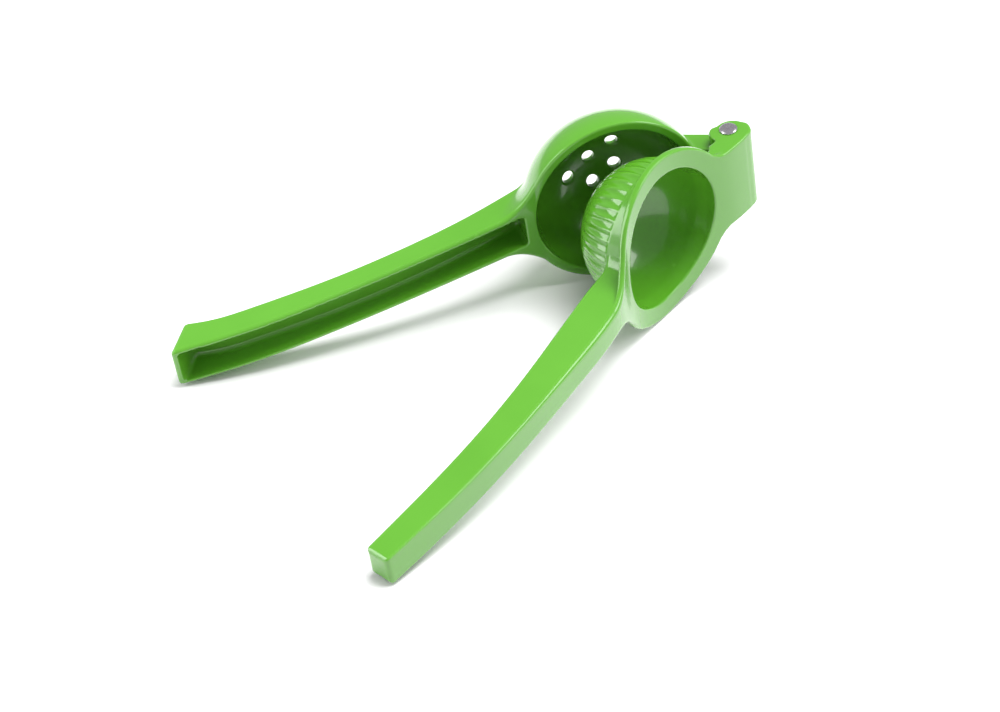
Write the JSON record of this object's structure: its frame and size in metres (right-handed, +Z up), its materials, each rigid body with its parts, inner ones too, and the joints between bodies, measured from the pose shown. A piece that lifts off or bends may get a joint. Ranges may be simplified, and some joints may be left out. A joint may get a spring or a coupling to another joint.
{
  "type": "citrus squeezer",
  "caption": "Handheld citrus squeezer: a hinged press dome pushes half a lime or lemon into a strainer cup as the two long handles are squeezed together.",
  "frame": {"origin": "middle of the bounding box, on the surface the open squeezer lies on", "axes": "+X from the hinge towards the handle ends, between the two handles; +Y towards the press jaw's side; +Z up"},
  "size_m": [0.2302, 0.1454, 0.0698],
  "materials": {
    "enamel": "glossy green enamel over cast aluminium",
    "steel": "plain, formed heads"
  },
  "bodies": {
    "strainer_jaw": {"strainer_jaw": "enamel"},
    "press_jaw": {"press_jaw": "enamel", "hinge_pin": "steel"}
  },
  "joints": [
    {"name": "jaw_hinge", "type": "hinge", "parent": "strainer_jaw", "child": "press_jaw", "pos_m": [-0.10504, 0.01072, 0.04176], "axis": [0.1582, 0, 0.9874], "range_deg": [-31.6, 75]}
  ]
}
